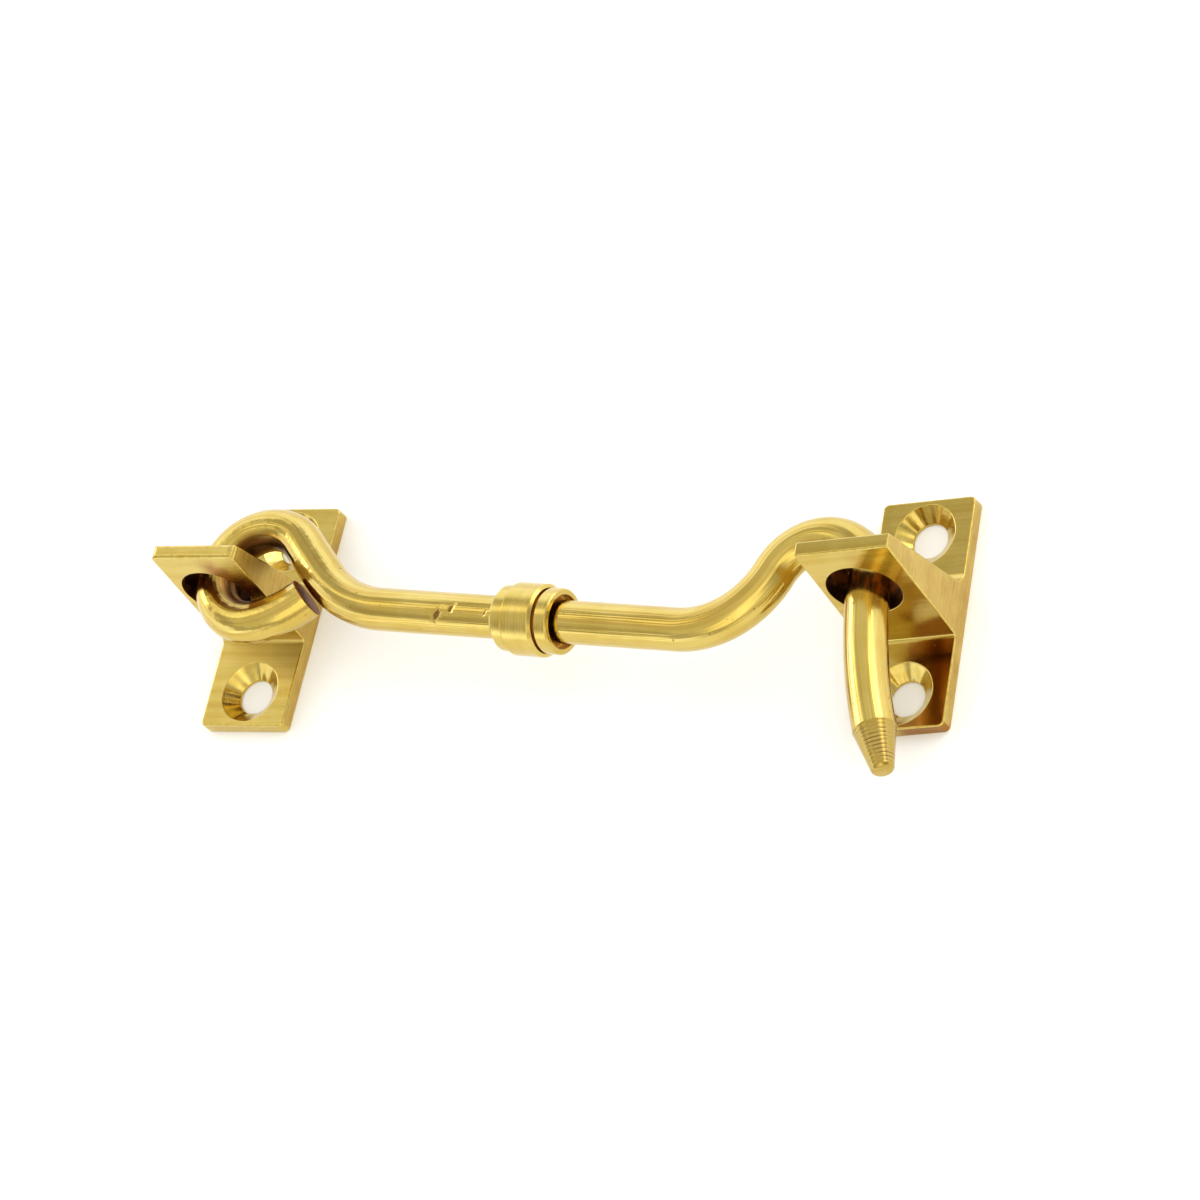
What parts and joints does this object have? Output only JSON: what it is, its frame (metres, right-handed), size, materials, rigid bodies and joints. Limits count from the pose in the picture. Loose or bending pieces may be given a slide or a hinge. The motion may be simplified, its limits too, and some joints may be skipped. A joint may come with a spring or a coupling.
{
  "type": "hook and eye latch",
  "caption": "Brass cabin hook: a bent round rod with its eye hung in a drilled T-section bracket, a turned collar on its shank and a tapered leg dropped through a matching keeper bracket.",
  "frame": {"origin": "centre of the pivot plate's back face, midway between its two screw holes", "axes": "+X along the hook from the pivot to the keeper, +Y towards the plates' upper ends, +Z out of the mounting surface"},
  "size_m": [0.1213, 0.0462, 0.0234],
  "materials": {
    "drawn_brass": "drawn and polished faces, sawn sides left satin",
    "polished_brass": "polished rod, cut end left dull, tip turned",
    "turned_brass": "fine turned"
  },
  "bodies": {
    "pivot": {"pivot_bracket": "drawn_brass"},
    "hook": {"hook": "polished_brass", "collar": "turned_brass"},
    "keeper": {"keeper_bracket": "drawn_brass"}
  },
  "joints": [
    {"name": "hook_swing", "type": "hinge", "parent": "pivot", "child": "hook", "pos_m": [0.005, 0.0009, 0.0132], "axis": [0, 0, 1], "range_deg": [-115, 115]},
    {"name": "keeper_draw_off", "type": "slide", "parent": "hook", "child": "keeper", "axis": [0.2588, -0.9659, 0], "range_m": [0, 0.042]}
  ]
}
